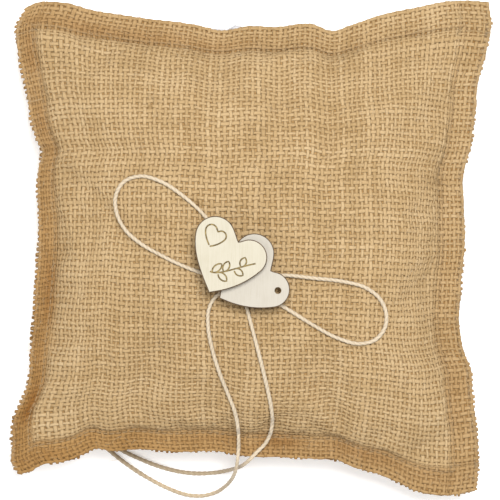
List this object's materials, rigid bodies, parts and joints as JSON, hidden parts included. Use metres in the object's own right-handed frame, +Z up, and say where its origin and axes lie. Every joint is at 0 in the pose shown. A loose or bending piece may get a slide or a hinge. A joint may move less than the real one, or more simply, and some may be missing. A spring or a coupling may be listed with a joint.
{
  "type": "ring bearer pillow",
  "caption": "Flanged square burlap cushion with raw edges, a twine bow tacked to its front for tying rings, and overlapping plywood hearts glued on the bow.",
  "frame": {"origin": "under the middle of the pillow, on the surface that its back lies on", "axes": "+Z up through the front cover, +Y towards the edge that was closed last, +X to the right seen from the front"},
  "size_m": [0.1972, 0.2039, 0.0587],
  "materials": {
    "burlap_front": "coarse jute plain weave, matte",
    "burlap_back": "coarse jute plain weave, matte",
    "lining": "white cotton, matte",
    "fibre": "loose white polyester fibre",
    "sewing_thread": "tan sewing thread",
    "twine": "cream twisted twine, matte",
    "glue": "clear hot glue, slightly milky",
    "plywood_rear": "pale plywood, laser-cut brown edge",
    "plywood_front": "pale plywood, laser-cut brown edge, engraved"
  },
  "bodies": {
    "pillow": {"front_cover": "burlap_front", "back_cover": "burlap_back", "lining_front": "lining", "lining_back": "lining", "fibre_fill": "fibre", "needle_thread": "sewing_thread", "bobbin_thread": "sewing_thread", "tack_thread": "sewing_thread", "bow_loop_left": "twine", "bow_loop_right": "twine", "tail_left": "twine", "tail_right": "twine"},
    "bow": {"bow_knot": "twine", "glue_dab_rear": "glue", "glue_dab_front": "glue", "heart_rear": "plywood_rear", "heart_front": "plywood_front"}
  },
  "joints": [
    {"name": "bow_swivel", "type": "hinge", "parent": "pillow", "child": "bow", "pos_m": [-0.0043, -0.0127, 0.05], "axis": [0, 0, 1], "range_deg": [-15, 15]}
  ]
}
